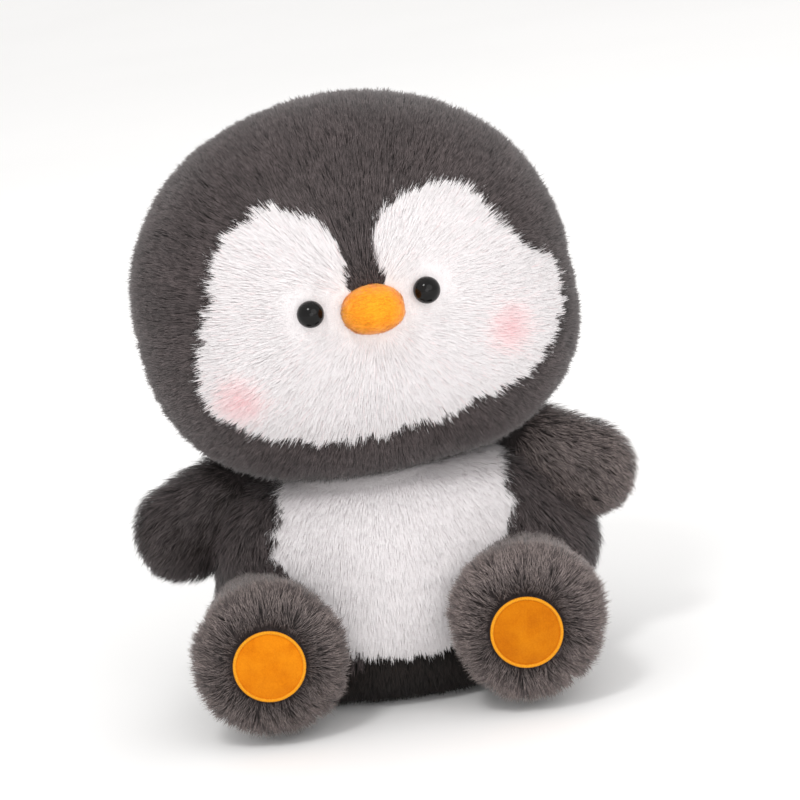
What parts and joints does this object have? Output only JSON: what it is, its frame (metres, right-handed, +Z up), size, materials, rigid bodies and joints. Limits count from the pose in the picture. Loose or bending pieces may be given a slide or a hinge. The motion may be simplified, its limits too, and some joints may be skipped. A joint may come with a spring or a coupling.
{
  "type": "plush penguin",
  "caption": "Sitting stuffed penguin toy with pile-fabric skin, big round head, soft beak, plastic eyes, stubby arms and legs that bend on their sewn seams.",
  "frame": {"origin": "on the floor, under the middle of the whole toy's box", "axes": "+Z up; the toy looks along -Y; its left arm is on +X"},
  "size_m": [0.1913, 0.1561, 0.224],
  "materials": {
    "fur_dark": "long soft pile, dark warm grey",
    "fur_white": "long soft pile, white",
    "felt_orange": "short brushed plush, orange",
    "stitching_orange": "satin stitching",
    "eye_black": "high gloss",
    "washer_white": "moulded",
    "pellets": "loose beads",
    "pouch_cloth": "plain weave",
    "thread_dark": "twisted thread",
    "stuffing": "loose polyester fibre"
  },
  "bodies": {
    "torso": {"belly_panel": "fur_white", "seat_panel": "fur_dark", "back_panel_left": "fur_dark", "back_panel_right": "fur_dark", "torso_stuffing": "stuffing", "pellet_pouch": "pouch_cloth", "pellet_fill": "pellets", "back_closing_stitches": "thread_dark"},
    "neck_ring": {"neck_seam_thread": "thread_dark"},
    "neck": {"neck_stuffing": "stuffing"},
    "head": {"crown_panel": "fur_dark", "face_panel_left": "fur_white", "face_panel_right": "fur_white", "chin_panel_left": "fur_dark", "chin_panel_right": "fur_dark", "head_back_panel_left": "fur_dark", "head_back_panel_right": "fur_dark", "head_stuffing": "stuffing", "beak_cover": "felt_orange", "beak_stuffing": "stuffing", "eye_left": "eye_black", "eye_right": "eye_black", "eye_washer_left": "washer_white", "eye_washer_right": "washer_white"},
    "arm_left": {"arm_left_front_panel": "fur_dark", "arm_left_back_panel": "fur_dark", "arm_left_stuffing": "stuffing"},
    "leg_left": {"leg_left_tube_panel": "fur_dark", "leg_left_sole_panel": "fur_dark", "leg_left_stuffing": "stuffing", "sole_pad_left": "felt_orange", "sole_pad_stitching_left": "stitching_orange"},
    "arm_right": {"arm_right_front_panel": "fur_dark", "arm_right_back_panel": "fur_dark", "arm_right_stuffing": "stuffing"},
    "leg_right": {"leg_right_tube_panel": "fur_dark", "leg_right_sole_panel": "fur_dark", "leg_right_stuffing": "stuffing", "sole_pad_right": "felt_orange", "sole_pad_stitching_right": "stitching_orange"}
  },
  "joints": [
    {"name": "head_turn", "type": "hinge", "parent": "torso", "child": "neck_ring", "pos_m": [0, 0.01, 0.062], "axis": [0, 0, 1], "range_deg": [-20, 15], "stiffness_Nm_per_rad": 0.35},
    {"name": "head_nod", "type": "hinge", "parent": "neck_ring", "child": "neck", "pos_m": [0, 0.01, 0.062], "axis": [1, 0, 0], "range_deg": [-6, 6], "stiffness_Nm_per_rad": 1.2},
    {"name": "head_lean", "type": "hinge", "parent": "neck", "child": "head", "pos_m": [0, 0.01, 0.062], "axis": [0, 1, 0], "range_deg": [-4.5, 5], "stiffness_Nm_per_rad": 1.2},
    {"name": "arm_left_raise", "type": "hinge", "parent": "torso", "child": "arm_left", "pos_m": [0.059, 0.006, 0.073], "axis": [0, -1, 0], "range_deg": [-4, 30], "stiffness_Nm_per_rad": 0.02},
    {"name": "arm_right_raise", "type": "hinge", "parent": "torso", "child": "arm_right", "pos_m": [-0.059, 0.006, 0.073], "axis": [0, 1, 0], "range_deg": [-4, 45], "stiffness_Nm_per_rad": 0.02},
    {"name": "leg_left_raise", "type": "hinge", "parent": "torso", "child": "leg_left", "pos_m": [0.0475, -0.029, 0.0306], "axis": [-1, 0, 0], "range_deg": [-10, 25], "stiffness_Nm_per_rad": 0.15},
    {"name": "leg_right_raise", "type": "hinge", "parent": "torso", "child": "leg_right", "pos_m": [-0.0475, -0.029, 0.0306], "axis": [-1, 0, 0], "range_deg": [-10, 25], "stiffness_Nm_per_rad": 0.15}
  ]
}
